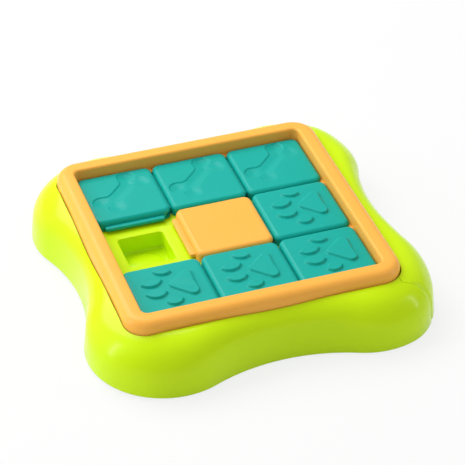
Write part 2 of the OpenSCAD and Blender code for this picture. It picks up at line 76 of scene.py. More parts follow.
def moulded_abs(name, colour, deep_colour, roughness):
    """Glossy ABS from a finely spark-eroded mould: its pigment flows unevenly over 40 mm or so, which
    shifts the tone a little, and its 1 mm texture softens highlights into a quiet satin gloss. The
    real texture is finer than that, and is drawn coarse enough to show."""
    material = bpy.data.materials.new(name)
    material.use_nodes = True
    tree = material.node_tree
    shader = tree.nodes["Principled BSDF"]
    shader.inputs["IOR"].default_value = 1.53
    shader.inputs["Specular IOR Level"].default_value = 0.16
    place = add_node(tree, "ShaderNodeTexCoord", {}, {}).outputs["Object"]
    flow = add_node(tree, "ShaderNodeTexNoise", {"Scale": TONE_SCALE, "Detail": 3}, {"Vector": place})
    tone = add_node(tree, "ShaderNodeMix", {"data_type": "RGBA", "clamp_factor": True}, {})
    tree.links.new(flow.outputs["Fac"], tone.inputs[MIX_SHARE])
    tone.inputs[MIX_FIRST].default_value = linear(colour)
    tone.inputs[MIX_SECOND].default_value = linear(deep_colour)
    tree.links.new(tone.outputs[MIX_RESULT], shader.inputs["Base Color"])
    grain = add_node(tree, "ShaderNodeTexNoise", {"Scale": GRAIN_SCALE, "Detail": 2}, {"Vector": place})
    spread = 0.03
    gloss = add_node(tree, "ShaderNodeMapRange", {"To Min": roughness - spread, "To Max": roughness + spread},
                     {"Value": grain.outputs["Fac"]})
    tree.links.new(gloss.outputs["Result"], shader.inputs["Roughness"])
    relief = add_node(tree, "ShaderNodeBump", {"Strength": 0.1, "Distance": 0.02 * MM},
                      {"Height": grain.outputs["Fac"]})
    tree.links.new(relief.outputs["Normal"], shader.inputs["Normal"])
    return material


def placed(name):
    """The primitive just added, named, with its place and scale moved into its mesh."""
    bpy.ops.object.transform_apply(location=True, rotation=True, scale=True)
    piece = bpy.context.object
    piece.name = piece.data.name = name
    return piece


def block(name, low, high):
    """A cube primitive between two corners in millimetres."""
    bpy.ops.object.select_all(action="DESELECT")
    middle = [(a + b) / 2 * MM for a, b in zip(low, high)]
    sides = [(b - a) * MM for a, b in zip(low, high)]
    bpy.ops.mesh.primitive_cube_add(size=1, location=middle, scale=sides)
    return placed(name)


def edit(piece):
    """Opens the piece alone in edit mode."""
    bpy.ops.object.select_all(action="DESELECT")
    piece.select_set(True)
    bpy.context.view_layer.objects.active = piece
    bpy.ops.object.mode_set(mode="EDIT")
    bpy.ops.mesh.select_all(action="DESELECT")


def done(piece, angle=35):
    """Leaves edit mode; faces that meet at less than this angle are shaded as one smooth surface."""
    bpy.ops.mesh.select_all(action="SELECT")
    bpy.ops.mesh.normals_make_consistent(inside=False)
    bpy.ops.object.mode_set(mode="OBJECT")
    bpy.ops.object.shade_smooth_by_angle(angle=radians(angle))
    return piece


def select(piece, kind, test):
    """Selects the vertices, edges or faces that pass the test."""
    bpy.ops.mesh.select_mode(type=kind)
    bpy.ops.mesh.select_all(action="DESELECT")
    shape = bmesh.from_edit_mesh(piece.data)
    for part in {"VERT": shape.verts, "EDGE": shape.edges, "FACE": shape.faces}[kind]:
        if test(part):
            part.select_set(True)
    shape.select_flush_mode()
    bmesh.update_edit_mesh(piece.data)


def put(piece, place):
    """Moves each selected vertex to place(x, y, z), in millimetres."""
    shape = bmesh.from_edit_mesh(piece.data)
    for v in shape.verts:
        if v.select:
            v.co = [c * MM for c in place(v.co.x / MM, v.co.y / MM, v.co.z / MM)]
    bmesh.update_edit_mesh(piece.data)


def combine(piece, tool, operation):
    """Cuts or joins the piece with a tool, which is used up."""
    if bpy.context.mode == "EDIT_MESH":
        bpy.ops.object.mode_set(mode="OBJECT")
    change = piece.modifiers.new(operation, "BOOLEAN")
    change.operation = operation
    change.solver = "EXACT"
    change.object = tool
    bpy.ops.object.select_all(action="DESELECT")
    bpy.context.view_layer.objects.active = piece
    bpy.ops.object.modifier_apply(modifier=change.name)
    bpy.data.objects.remove(tool)


def copy(piece, name, shift=(0, 0, 0)):
    """A copy with its own mesh, moved in its mesh by millimetres."""
    twin = piece.copy()
    twin.data = piece.data.copy()
    twin.name = twin.data.name = name
    bpy.context.collection.objects.link(twin)
    for v in twin.data.vertices:
        v.co += Vector(shift) * MM
    return twin


# Centre of the back right lobe, the lobes' radius, and how far the waists lie inside the lobes
LOBE_AT = (75.5, 73)
LOBE_R = 57.5
WAIST_IN = 15
# Heights of the lower rim and the top, and the draft of the walls between them
RIM_Z = 1.2
BASE_TOP = 41.5
DRAFT = radians(5.5)
# Rounding of the shoulder on the lobes and at the waists, the share of the way between them that
# keeps each, and the rounding of the lower rim
SOFT_R = 28
TIGHT_R = 16
TIGHT_SHARE = 0.2
FOOT_R = 1.2
# The right lobes' reach is less by this, from this x on and over this run
SHORT_BY = 4.5
SHORT_FROM = 95
SHORT_RUN = 38
# Inner side of the side cover, half its length there, and the flare of its ends
COVER_X = 102.05
COVER_HALF = 106.4
COVER_FLARE = radians(9.6)
# Half the width of the valley along the cover's seam, and its depth
SEAM_WIDE = 3
SEAM_DEEP = 1.1
WALL = 2.6
LOBE_STEPS = 150
SIDE_STEPS = 40
FOOT_STEPS = 4
SHOULDER_STEPS = 16


def side_arc(span):
    """Radius of the arc between two lobes 2 * span apart, and the angle at which it meets them."""
    waist = LOBE_R - WAIST_IN
    r = (span ** 2 + waist ** 2 - LOBE_R ** 2) / (2 * WAIST_IN)
    return r, atan2(span, waist + r)


BACK_R, BACK_TURN = side_arc(LOBE_AT[0])
RIGHT_R, RIGHT_TURN = side_arc(LOBE_AT[1])
BACK_ARC_Y = LOBE_AT[1] + LOBE_R - WAIST_IN + BACK_R
RIGHT_ARC_X = LOBE_AT[0] + LOBE_R - WAIST_IN + RIGHT_R


def smooth(share):
    """A soft step from 0 to 1."""
    share = max(0, min(1, share))
    return share * share * (3 - 2 * share)


def wall_at(x, y):
    """The skin's wall at a point: its foot's x and y, its outward direction and its shoulder radius."""
    side_x, side_y = (1 if x > 0 else -1), (1 if y > 0 else -1)
    x, y = abs(x), abs(y)
    turn = atan2(y - LOBE_AT[1], x - LOBE_AT[0])
    on_lobe = -RIGHT_TURN <= turn <= pi / 2 + BACK_TURN
    behind = turn > pi / 4 if on_lobe else x < y
    arc_r, arc_turn = (BACK_R, BACK_TURN) if behind else (RIGHT_R, RIGHT_TURN)
    side, half_lobe = arc_r * arc_turn, LOBE_R * (pi / 4 + arc_turn)
    if on_lobe:
        out = Vector((cos(turn), sin(turn)))
        foot = Vector(LOBE_AT) + LOBE_R * out
        run = side + (half_lobe - LOBE_R * abs(turn - pi / 4))
    else:
        centre = Vector((0, BACK_ARC_Y)) if behind else Vector((RIGHT_ARC_X, 0))
        out = (centre - Vector((x, y))).normalized()
        foot = centre - arc_r * out
        run = arc_r * (atan2(abs(out.x), abs(out.y)) if behind else atan2(abs(out.y), abs(out.x)))
    soft = smooth((run / (side + half_lobe) - TIGHT_SHARE) / (1 - 2 * TIGHT_SHARE))
    r = TIGHT_R + (SOFT_R - TIGHT_R) * soft
    return foot.x * side_x, foot.y * side_y, out.x * side_x, out.y * side_y, r


def outline(name, z):
    """The base's outline as a loop of edges: one vertex spun round each lobe and each side in turn."""
    bpy.ops.object.select_all(action="DESELECT")
    bpy.ops.mesh.primitive_plane_add(size=MM)
    piece = bpy.context.object
    piece.name = piece.data.name = name
    bpy.ops.object.mode_set(mode="EDIT")
    bpy.ops.mesh.merge(type="CENTER")
    start = pi - RIGHT_TURN
    first = (-LOBE_AT[0] + LOBE_R * cos(start), -LOBE_AT[1] + LOBE_R * sin(start), z)
    bpy.ops.transform.translate(value=[c * MM for c in first])
    corner = pi / 2 + BACK_TURN + RIGHT_TURN
    for lobe, side, turn in (((-1, -1), (0, -BACK_ARC_Y), BACK_TURN),
                             ((1, -1), (RIGHT_ARC_X, 0), RIGHT_TURN),
                             ((1, 1), (0, BACK_ARC_Y), BACK_TURN),
                             ((-1, 1), (-RIGHT_ARC_X, 0), RIGHT_TURN)):
        lobe_middle = (lobe[0] * LOBE_AT[0] * MM, lobe[1] * LOBE_AT[1] * MM, 0)
        side_middle = (side[0] * MM, side[1] * MM, 0)
        bpy.ops.mesh.spin(steps=LOBE_STEPS, angle=-corner, center=lobe_middle, axis=(0, 0, 1))
        bpy.ops.mesh.spin(steps=SIDE_STEPS, angle=2 * turn, center=side_middle, axis=(0, 0, 1))
    bpy.ops.mesh.select_all(action="SELECT")
    bpy.ops.mesh.remove_doubles(threshold=HAIR * MM)
    return piece


def cover_end(x, gap):
    """Distance of the cover's flared ends from the middle at x; gap moves them outward."""
    return COVER_HALF + (x - COVER_X) * tan(COVER_FLARE) + gap / cos(COVER_FLARE)


def lobed_body(name, inset, low, top):
    """The lobed body as a solid, raised loop by loop up the drafted wall and over the shoulder."""
    piece = outline(name, low)
    bpy.ops.mesh.edge_face_add()

    def ring(height, sink):
        """Puts the top face in place; height and sink give its height and way in for a shoulder radius."""
        def place(x, y, z):
            x, y, out_x, out_y, r = wall_at(x, y)
            way = sink(r)
            return x - out_x * way, y - out_y * way, height(r)
        put(piece, place)

    def wall(z):
        """How far inside the outline the drafted wall lies at a height."""
        return inset / cos(DRAFT) + (z - RIM_Z) * tan(DRAFT)

    for k in range(FOOT_STEPS + 1):
        turn = k * pi / 2 / FOOT_STEPS
        if k:
            bpy.ops.mesh.extrude_region_move()
        ring(lambda r: low + FOOT_R * (1 - cos(turn)),
             lambda r: wall(low + FOOT_R) + FOOT_R * (1 - sin(turn)))
    for k in range(SHOULDER_STEPS + 1):
        turn = DRAFT + (pi / 2 - DRAFT) * k / SHOULDER_STEPS
        bpy.ops.mesh.extrude_region_move()
        ring(lambda r: top - (r - inset) * (1 - sin(turn)),
             lambda r: wall(top - (r - inset)) + (r - inset) * (1 / cos(DRAFT) - cos(turn)))
    # one more ring, 1 mm further in, ends the shoulder on the flat top
    bpy.ops.mesh.extrude_region_move()
    ring(lambda r: top, lambda r: wall(top - (r - inset)) + (r - inset) / cos(DRAFT) + 1)
    # the right lobes stand out a little less than the left ones
    select(piece, "VERT", lambda v: v.co.x > SHORT_FROM * MM)
    put(piece, lambda x, y, z: (x - SHORT_BY * smooth((x - SHORT_FROM) / SHORT_RUN), y, z))

    def valley(x, y, z):
        """The edges of the side cover and of its bay are rounded, so a shallow valley follows the seam."""
        deep = SEAM_DEEP * max(0, 1 - abs(abs(y) - cover_end(x, 0)) / SEAM_WIDE) ** 2
        out_x, out_y, r = wall_at(x, y)[2:]
        rise = asin(max(sin(DRAFT), min(1, 1 - (top - z) / r)))
        return x - deep * out_x * cos(rise), y - deep * out_y * cos(rise), z - deep / 2 * sin(rise)

    select(piece, "VERT", lambda v: v.co.x > COVER_X * MM and v.co.z > (low + NEAR) * MM)
    put(piece, valley)
    # the shoulder's faces are slightly twisted, so they are split into flat triangles before any cut
    select(piece, "FACE", lambda f: len(f.verts) == 4)
    bpy.ops.mesh.quads_convert_to_tris()
    return done(piece)


def sunk(name, middle, half, corner_r, top, bottom, edge_r, floor_r):
    """A tool for a square recess with rounded corners, rim and floor edge, lowered inset by inset."""
    # the rim starts a hair above the surface, so that the two cross
    top += HAIR
    collar, steps = 3, 4
    bpy.ops.object.select_all(action="DESELECT")
    bpy.ops.mesh.primitive_plane_add(size=2 * (half + edge_r) * MM,
                                     location=(middle[0] * MM, middle[1] * MM, (top + collar) * MM))
    piece = placed(name)
    edit(piece)
    bpy.ops.mesh.select_all(action="SELECT")
    bpy.ops.mesh.bevel(affect="VERTICES", offset=(corner_r + edge_r) * MM, segments=16)
    bpy.ops.mesh.select_all(action="SELECT")
    bpy.ops.mesh.flip_normals()
    bpy.ops.mesh.extrude_region_move(TRANSFORM_OT_translate={"value": (0, 0, -collar * MM)})
    turns = [k * pi / 2 / steps for k in range(steps + 1)]
    for turn, after in zip(turns, turns[1:]):
        bpy.ops.mesh.inset(thickness=edge_r * (sin(after) - sin(turn)) * MM,
                           depth=edge_r * (cos(turn) - cos(after)) * MM)
    deep = (top - edge_r - bottom - floor_r) * MM
    bpy.ops.mesh.extrude_region_move(TRANSFORM_OT_translate={"value": (0, 0, -deep)})
    if floor_r:
        for turn, after in zip(turns, turns[1:]):
            bpy.ops.mesh.inset(thickness=floor_r * (cos(turn) - cos(after)) * MM,
                               depth=floor_r * (sin(after) - sin(turn)) * MM)
    return piece


def cover_room(name, x, gap, low, high):
    """A block that holds all that lies beyond x and between the cover's flared ends."""
    reach = 60
    piece = block(name, (x, -cover_end(x, gap), low), (x + reach, cover_end(x, gap), high))
    edit(piece)
    select(piece, "VERT", lambda v: v.co.x > (x + NEAR) * MM)
    flare = cover_end(x + reach, gap) / cover_end(x, gap)
    bpy.ops.transform.resize(value=(1, flare, 1), center_override=(0, 0, 0))
    bpy.ops.object.mode_set(mode="OBJECT")
    return piece


# Middle of the tile field, distance between cells, and height of the board under the tiles
FIELD_X = -5.5
PITCH = 60
BOARD_Z = 33.5
POCKET_HALF = 104.3
POCKET_CORNER_R = 18.9
POCKET_EDGE_R = 0.7
WELL_HALF = 17.5
WELL_Z = 19
WELL_CORNER_R = 3
WELL_EDGE_R = 0.8
WELL_FLOOR_R = 2
# A low dome on each well's floor, and how far its widest ring lies below that floor
DOME_R = 14
DOME_RISE = 1.6
DOME_SINK = 0.05
# The side cover's gap, and its top lip: inner edge, underside, and underside beyond LIP_END_Y
COVER_GAP = 0.3
LIP_X = 93
LIP_Z = 38.9
LIP_END_Z = 33
LIP_END_Y = 84
# The cover's two blades, and the inner end of the notches that they pass
BLADE_Y = 45
BLADE_HALF = 12
BLADE_Z = 35.9
NOTCH_X = 84
# The recess for the floor plate, from below the rim to just over the plate
RECESS_Z = -2
RECESS_TOP = 3.8
# Heights under and over the whole toy, and an x beyond it, for tools that cut right through
UNDER = -5
OVER = 60
BEYOND = 200


def blade_span(side, gap):
    """Lowest and highest y of the blade on one side of the middle, with a gap on each side of it."""
    return sorted((side * (BLADE_Y - BLADE_HALF - gap), side * (BLADE_Y + BLADE_HALF + gap)))


# Lime ABS with a bright, slightly yellow green pigment; in shade it turns a deeper yellow green.
lime = moulded_abs("satin_lime_abs", "#cff30d", "#caee0b", 0.22)

base = lobed_body("base", 0, RIM_Z, BASE_TOP)
skin = copy(base, "cover_skin")
pocket = sunk("pocket", (FIELD_X, 0), POCKET_HALF, POCKET_CORNER_R, BASE_TOP, BOARD_Z, POCKET_EDGE_R, 0)
combine(base, pocket, "DIFFERENCE")
wells = sunk("well", (FIELD_X, 0), WELL_HALF, WELL_CORNER_R, BOARD_Z, WELL_Z, WELL_EDGE_R, WELL_FLOOR_R)
bpy.ops.object.mode_set(mode="OBJECT")
# the dome's widest ring lies just below the floor, so that the two surfaces cross
bpy.ops.mesh.primitive_uv_sphere_add(segments=48, ring_count=24,
                                     location=(FIELD_X * MM, 0, (WELL_Z - DOME_SINK) * MM),
                                     scale=(DOME_R * MM, DOME_R * MM, DOME_RISE * MM))
domes = placed("dome")
for x in (-1, 0, 1):
    for y in (-1, 0, 1):
        combine(base, copy(wells, "well", (x * PITCH, y * PITCH, 0)), "DIFFERENCE")
        combine(base, copy(domes, "dome", (x * PITCH, y * PITCH, 0)), "UNION")
bpy.data.objects.remove(wells)
bpy.data.objects.remove(domes)
# the bay and the ledge for the side cover, and the notches for its blades
bay_x, ledge_x = COVER_X - COVER_GAP, LIP_X - COVER_GAP
combine(base, cover_room("bay", bay_x, COVER_GAP, UNDER, OVER), "DIFFERENCE")
combine(base, cover_room("ledge", ledge_x, COVER_GAP, LIP_Z - COVER_GAP, OVER), "DIFFERENCE")
# the lip is deeper at its ends, where the shoulder falls away
ends = cover_room("ledge_ends", ledge_x, COVER_GAP, LIP_END_Z - COVER_GAP, OVER)
combine(ends, block("between", (0, -LIP_END_Y, 0), (BEYOND, LIP_END_Y, OVER + 10)), "DIFFERENCE")
combine(base, ends, "DIFFERENCE")
for side in (-1, 1):
    low_y, high_y = blade_span(side, COVER_GAP)
    notch = block("notch", (NOTCH_X, low_y, BLADE_Z - COVER_GAP), (COVER_X + 5, high_y, OVER))
    combine(base, notch, "DIFFERENCE")
# the recess for the floor plate stops short of the bay's wall
recess = outline("recess", RECESS_Z)
bpy.ops.mesh.edge_face_add()
put(recess, lambda x, y, z: (x - wall_at(x, y)[2] * WALL, y - wall_at(x, y)[3] * WALL, z))
bpy.ops.mesh.extrude_region_move(TRANSFORM_OT_translate={"value": (0, 0, (RECESS_TOP - RECESS_Z) * MM)})
done(recess)
combine(recess, cover_room("bay_wall", bay_x - WALL, COVER_GAP + WALL, UNDER, 20), "DIFFERENCE")
combine(base, recess, "DIFFERENCE")
edit(base)
done(base)
base.data.materials.append(lime)
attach(base, "base")
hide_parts("base_shell")

# ---- Frame ----
# The raised square frame is one moulding of orange ABS that drops into the base's pocket and keeps
# the tiles in. Its outer edge is rounded for the hand; tongues and grooves run round its inside.
FRAME_HALF = 103.6
RAIL_W = 13.6
FRAME_TOP = 50
RAIL_OUTER_R = 6.5
RAIL_INNER_R = 2
FIELD_HALF = 90
FRAME_RUN = 85
GROOVE_Z = 35
GROOVE_TOP = 38.3
GROOVE_DEEP = 4.4
TONGUE_Z = 35.3
TONGUE_TOP = 38
TONGUE_REACH = 4
# Slots in the right rail take the blades from outside
BLADE_X = 86.6
BLADE_THICK = 2.4
SLOT_END = 100
# A joined shape or a cutting tool runs this far past the face that it meets
PAST = 1
# Orange ABS with a warm, slightly milky pigment; a little less glossy than the base.
orange = moulded_abs("satin_orange_abs", "#ffb851", "#fcb34c", 0.26)


def both_ways(low, high):
    """The corners of a block that lies along Y, and those of the same block turned to lie along X."""
    return (low, high), ((low[1], low[0], low[2]), (high[1], high[0], high[2]))


def rail_block(name, low, high):
    """A block whose corners are given from the middle of the tile field."""
    return block(name, (low[0] + FIELD_X, *low[1:]), (high[0] + FIELD_X, *high[1:]))


bpy.ops.object.select_all(action="DESELECT")
bpy.ops.mesh.primitive_plane_add(size=MM, rotation=(pi / 2, 0, 0),
                                 location=((FRAME_HALF - RAIL_W / 2) * MM, -FRAME_RUN * MM,
                                           (FRAME_TOP + BOARD_Z) / 2 * MM))
bpy.context.object.scale = (RAIL_W, FRAME_TOP - BOARD_Z, 1)
rails = placed("rails")
edit(rails)
for x, r in ((FRAME_HALF, RAIL_OUTER_R), (FIELD_HALF, RAIL_INNER_R)):
    select(rails, "VERT", lambda v: abs(v.co.x - x * MM) < NEAR * MM and v.co.z > (FRAME_TOP - NEAR) * MM)
    bpy.ops.mesh.bevel(affect="VERTICES", offset=r * MM, segments=10)
bpy.ops.mesh.select_all(action="SELECT")
bpy.ops.mesh.delete(type="ONLY_FACE")
bpy.ops.mesh.select_all(action="SELECT")
# the rail's profile is drawn along each side and spun round each corner
run = 2 * FRAME_RUN * MM
for way, corner in (((0, 1), (1, 1)), ((-1, 0), (-1, 1)), ((0, -1), (-1, -1)), ((1, 0), (1, -1))):
    bpy.ops.mesh.extrude_region_move(TRANSFORM_OT_translate={"value": (way[0] * run, way[1] * run, 0)})
    bpy.ops.mesh.spin(steps=20, angle=-pi / 2, axis=(0, 0, 1),
                      center=(corner[0] * FRAME_RUN * MM, corner[1] * FRAME_RUN * MM, 0))
bpy.ops.mesh.select_all(action="SELECT")
bpy.ops.mesh.remove_doubles(threshold=HAIR * MM)
bpy.ops.transform.translate(value=(FIELD_X * MM, 0, 0))
done(rails)
for low, high in both_ways((FIELD_HALF - TONGUE_REACH, -FRAME_RUN, TONGUE_Z),
                           (FIELD_HALF + PAST, FRAME_RUN, TONGUE_TOP)):
    combine(rails, rail_block("tongue", low, high), "UNION")
for low, high in both_ways((-FIELD_HALF - GROOVE_DEEP, -FIELD_HALF, GROOVE_Z),
                           (-FIELD_HALF + PAST, FRAME_RUN, GROOVE_TOP)):
    combine(rails, rail_block("groove", low, high), "DIFFERENCE")
for side in (-1, 1):
    low_y, high_y = blade_span(side, COVER_GAP)
    slot = block("slot", (BLADE_X - COVER_GAP, low_y, BLADE_Z - COVER_GAP),
                 (SLOT_END, high_y, BLADE_Z + BLADE_THICK + COVER_GAP))
    combine(rails, slot, "DIFFERENCE")
edit(rails)
done(rails)
rails.data.materials.append(orange)
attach(rails, "base")
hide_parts("tile_frame")

# ---- Tiles ----
# Each tile is a hollow cap of teal or orange ABS on a flat slide plate. Its top edge is well rounded
# and its corners are round, so that a nose or paw can push it; tongues on its left and front sides
# run in the grooves of its neighbours and of the frame.
TILE_HALF = 29.5
TILE_TOP = 42
TILE_CORNER_R = 6
TILE_EDGE_R = 3.4
EDGE_STEPS = 7
CAP_Z = 35
# Half a tongue's length, how far it is rooted in the tile, and the rounding of its corners and edges
TONGUE_HALF = 23
TONGUE_ROOT = 3
TONGUE_CORNER_R = 1.8
TONGUE_EDGE_R = 0.5
# Angle below which a tile's faces are shaded as one surface
TILE_SMOOTH = 60
# Teal ABS with a dense blue green pigment; the tiles are the most matt of the three colours.
teal = moulded_abs("satin_teal_abs", "#0eaa9e", "#0aa598", 0.36)


def square_edge(x, y, half, corner_r):
    """For a point near a rounded square's edge: the edge's nearest place and its outward direction."""
    over = Vector((abs(x) - half + corner_r, abs(y) - half + corner_r))
    if over.x > 0 and over.y > 0:
        out = over.normalized()
    else:
        out = Vector((1, 0)) if over.x > over.y else Vector((0, 1))
    inner = Vector((min(abs(x), half - corner_r), min(abs(y), half - corner_r)))
    foot = inner + corner_r * out
    side_x, side_y = (1 if x > 0 else -1), (1 if y > 0 else -1)
    return foot.x * side_x, foot.y * side_y, out.x * side_x, out.y * side_y


def climb(edge):
    """How far an edge rises from one end to the other."""
    return abs(edge.verts[0].co.z - edge.verts[1].co.z)


def rounded_tongue(low, high):
    """A tongue with rounded outer corners and edges, in triangles for a clean union."""
    tongue = block("tongue", low, high)
    edit(tongue)
    end = (-TILE_HALF - TONGUE_REACH + NEAR) * MM
    select(tongue, "EDGE", lambda e: climb(e) > NEAR * MM and min(e.verts[0].co) < end)
    bpy.ops.mesh.bevel(affect="EDGES", offset=TONGUE_CORNER_R * MM, segments=6)
    select(tongue, "EDGE", lambda e: climb(e) < NEAR * MM)
    bpy.ops.mesh.bevel(affect="EDGES", offset=TONGUE_EDGE_R * MM, segments=3)
    bpy.ops.mesh.select_all(action="SELECT")
    bpy.ops.mesh.quads_convert_to_tris()
    bpy.ops.object.mode_set(mode="OBJECT")
    return tongue


def tile_cap(name, cells):
    """A cap about the origin: a grid for its top, drawn out over the rounded edge, down and closed."""
    flat = TILE_HALF - TILE_EDGE_R
    corner_r = TILE_CORNER_R - TILE_EDGE_R
    bpy.ops.object.select_all(action="DESELECT")
    bpy.ops.mesh.primitive_grid_add(x_subdivisions=cells, y_subdivisions=cells, size=2 * flat * MM,
                                    location=(0, 0, TILE_TOP * MM))
    piece = placed(name)
    edit(piece)
    bpy.ops.mesh.select_all(action="SELECT")

    def round_corner(x, y, z):
        over = Vector((abs(x) - flat + corner_r, abs(y) - flat + corner_r))
        if over.x <= 0 or over.y <= 0:
            return x, y, z
        over = over.normalized() * max(over)
        side_x, side_y = (1 if x > 0 else -1), (1 if y > 0 else -1)
        return side_x * (flat - corner_r + over.x), side_y * (flat - corner_r + over.y), z

    put(piece, round_corner)
    select(piece, "EDGE", lambda e: e.is_boundary)
    for k in range(1, EDGE_STEPS + 2):
        # the last step runs straight down the side
        turn = min(k, EDGE_STEPS) * pi / 2 / EDGE_STEPS
        drop = TILE_EDGE_R * (1 - cos(turn)) if k <= EDGE_STEPS else TILE_TOP - CAP_Z
        bpy.ops.mesh.extrude_region_move()

        def place(x, y, z):
            x, y, out_x, out_y = square_edge(x, y, flat, corner_r)
            way = TILE_EDGE_R * sin(turn)
            return x + out_x * way, y + out_y * way, TILE_TOP - drop

        put(piece, place)
    bpy.ops.mesh.edge_face_add()
    done(piece, TILE_SMOOTH)
    far = TILE_HALF + PAST
    for low, high in both_ways((TILE_HALF - GROOVE_DEEP, -far, CAP_Z - PAST), (far, far, GROOVE_TOP)):
        combine(piece, block("groove", low, high), "DIFFERENCE")
    for low, high in both_ways((-TILE_HALF - TONGUE_REACH, -TONGUE_HALF, TONGUE_Z),
                               (-TILE_HALF + TONGUE_ROOT, TONGUE_HALF, TONGUE_TOP)):
        combine(piece, rounded_tongue(low, high), "UNION")
        # the faces round the tongue have many corners, so they are split before the next union
        edit(piece)
        select(piece, "FACE", lambda f: len(f.verts) > 4)
        bpy.ops.mesh.quads_convert_to_tris()
        done(piece, TILE_SMOOTH)
    return piece


# Each toe's middle, half its length and width, and its turn in degrees
PAW_TOES = ((-1.4, 19, 8, 4.2, -14),
            (-12, 8.9, 9, 5.3, 6),
            (-11.9, -3.8, 8.9, 5.7, -4),
            (-1.6, -15.2, 7.2, 5.2, 4))
# Middle and radius of the three discs that the pad is drawn round
PAW_PAD = ((3, 2.8, 4.4), (14.2, -8, 4.9), (15.2, 11.8, 5.2))
# Height of the paw; its slope is PAW_STEP wide at the front and PAW_FADE wider at the back
PAW_RISE = 2.2
PAW_STEP = 1.1
PAW_FADE = 1.9
# The share by which a form is lower at its front
FRONT_DROP = 0.15
# The bone's middle and turn, the place and radius of its knobs, and half its shaft's width
BONE_AT = (0, 3)
BONE_TURN = radians(45)
KNOB_AT = (18.5, 6.8)
KNOB_R = 7.2
SHAFT_HALF = 6.6
# Reach and amount of the blend between shaft and knobs
NECK_REACH = 6
NECK_FILL = 1.5
# The step at the bone's back edge: its depth, its width, and the width over which it fades forward;
# then the depth of the bowl inside it
BONE_STEP = 0.9
STEP_RUN = 1.1
STEP_FADE = 14
BONE_BOWL = 0.75


def pad_depth(x, y):
    """How far a point lies inside the paw's pad, the tight band round three discs."""
    depth = inf
    count = len(PAW_PAD)
    sides = []
    for k in range(count):
        ax, ay, ar = PAW_PAD[k]
        bx, by, br = PAW_PAD[(k + 1) % count]
        turn = atan2(by - ay, bx - ax) - pi / 2 + asin((ar - br) / hypot(bx - ax, by - ay))
        out = (cos(turn), sin(turn))
        sides.append(out)
        depth = min(depth, ar - (x - ax) * out[0] - (y - ay) * out[1])
    for k in range(count):
        cx, cy, r = PAW_PAD[k]
        before, after = sides[k - 1], sides[k]
        if before[0] * (y - cy) - before[1] * (x - cx) > 0 and after[0] * (y - cy) - after[1] * (x - cx) < 0:
            depth = min(depth, r - hypot(x - cx, y - cy))
    return depth


def swell(depth, front):
    """Height of a raised form at a depth inside its outline: soft at its back, a step at its front."""
    return PAW_RISE * (1 - FRONT_DROP * front) * smooth(depth / (PAW_STEP + PAW_FADE * (1 - front)))


def paw_height(x, y):
    """Height of the paw relief: four pointed oval toes and a pad."""
    height = 0
    for tx, ty, length, width, degrees in PAW_TOES:
        turn = radians(degrees)
        along = (x - tx) * cos(turn) + (y - ty) * sin(turn)
        across = (y - ty) * cos(turn) - (x - tx) * sin(turn)
        arc_r = (length ** 2 + width ** 2) / (2 * width)
        depth = arc_r - hypot(along, abs(across) + arc_r - width)
        height = max(height, swell(depth, smooth(0.6 - across / width / 2)))
    # the pad's front is its side towards the front left
    front = smooth((9.6 - 0.45 * x - 0.9 * (y - 1)) / 9)
    return max(height, swell(pad_depth(x, y), front))


def bone_height(x, y):
    """Height of the bone relief, a shallow trough with a crisp back edge and a front edge that fades."""
    x, y = x - BONE_AT[0], y - BONE_AT[1]
    along = x * cos(BONE_TURN) + y * sin(BONE_TURN)
    across = y * cos(BONE_TURN) - x * sin(BONE_TURN)
    knob = KNOB_R - hypot(abs(along) - KNOB_AT[0], abs(across) - KNOB_AT[1])
    shaft = min(SHAFT_HALF - abs(across), KNOB_AT[0] - abs(along))
    blend = max(0, 1 - abs(knob - shaft) / NECK_REACH)
    depth = max(knob, shaft) + NECK_FILL * blend * blend
    back = max(0, min(1, across / STEP_FADE + 0.5))
    return -BONE_STEP * back * smooth(depth / STEP_RUN) - BONE_BOWL * smooth(depth / SHAFT_HALF)


def raise_relief(piece, height):
    """Gives the flat top of a cap its relief."""
    edit(piece)
    select(piece, "VERT", lambda v: v.co.z > (TILE_TOP - HAIR) * MM)
    put(piece, lambda x, y, z: (x, y, z + height(x, y)))
    return done(piece, TILE_SMOOTH)


def finish_node(name, material):
    """Gives a CAD piece whose shape is right its material."""
    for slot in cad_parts[name].material_slots:
        slot.material = material


plain = tile_cap("plain_cap", 150)
bone = raise_relief(copy(plain, "bone_cap"), bone_height)
paw = raise_relief(copy(plain, "paw_cap"), paw_height)
CELLS = (("back_left", -1, 1, bone, teal, "base"),
         ("back_middle", 0, 1, bone, teal, "base"),
         ("back_right", 1, 1, bone, teal, "base"),
         ("centre", 0, 0, plain, orange, "centre_tile"),
         ("middle_right", 1, 0, paw, teal, "middle_right_tile"),
         ("front_left", -1, -1, paw, teal, "base"),
         ("front_middle", 0, -1, paw, teal, "base"),
         ("front_right", 1, -1, paw, teal, "base"))
for cell, x, y, shape, finish, body in CELLS:
    tile = copy(shape, "cap_" + cell, (x * PITCH + FIELD_X, y * PITCH, 0))
    tile.data.materials.append(finish)
    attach(tile, body)
    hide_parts("tile_" + cell)
    finish_node("plate_" + cell, finish)
for piece in (plain, bone, paw):
    bpy.data.objects.remove(piece)

# ---- Side cover ----
# The right-hand side of the base is a cover of its own, a hollow moulding of the same lime ABS. It
# pulls off to the right; two blades under its top lip lock the frame down.
COVER_Z = 1.8
BLADE_ROOT = 8
# A hanger joins each blade to the lip: it lies this far inside the blade's sides and reaches into the lip
HANGER_IN = 0.5
# Half the length of a block that cuts along the whole cover, and its reach under the toy and inward
CUT_HALF = 150
CUT_UNDER = -10
CUT_IN = 20
flare_x, flare_y = sin(COVER_FLARE), cos(COVER_FLARE)


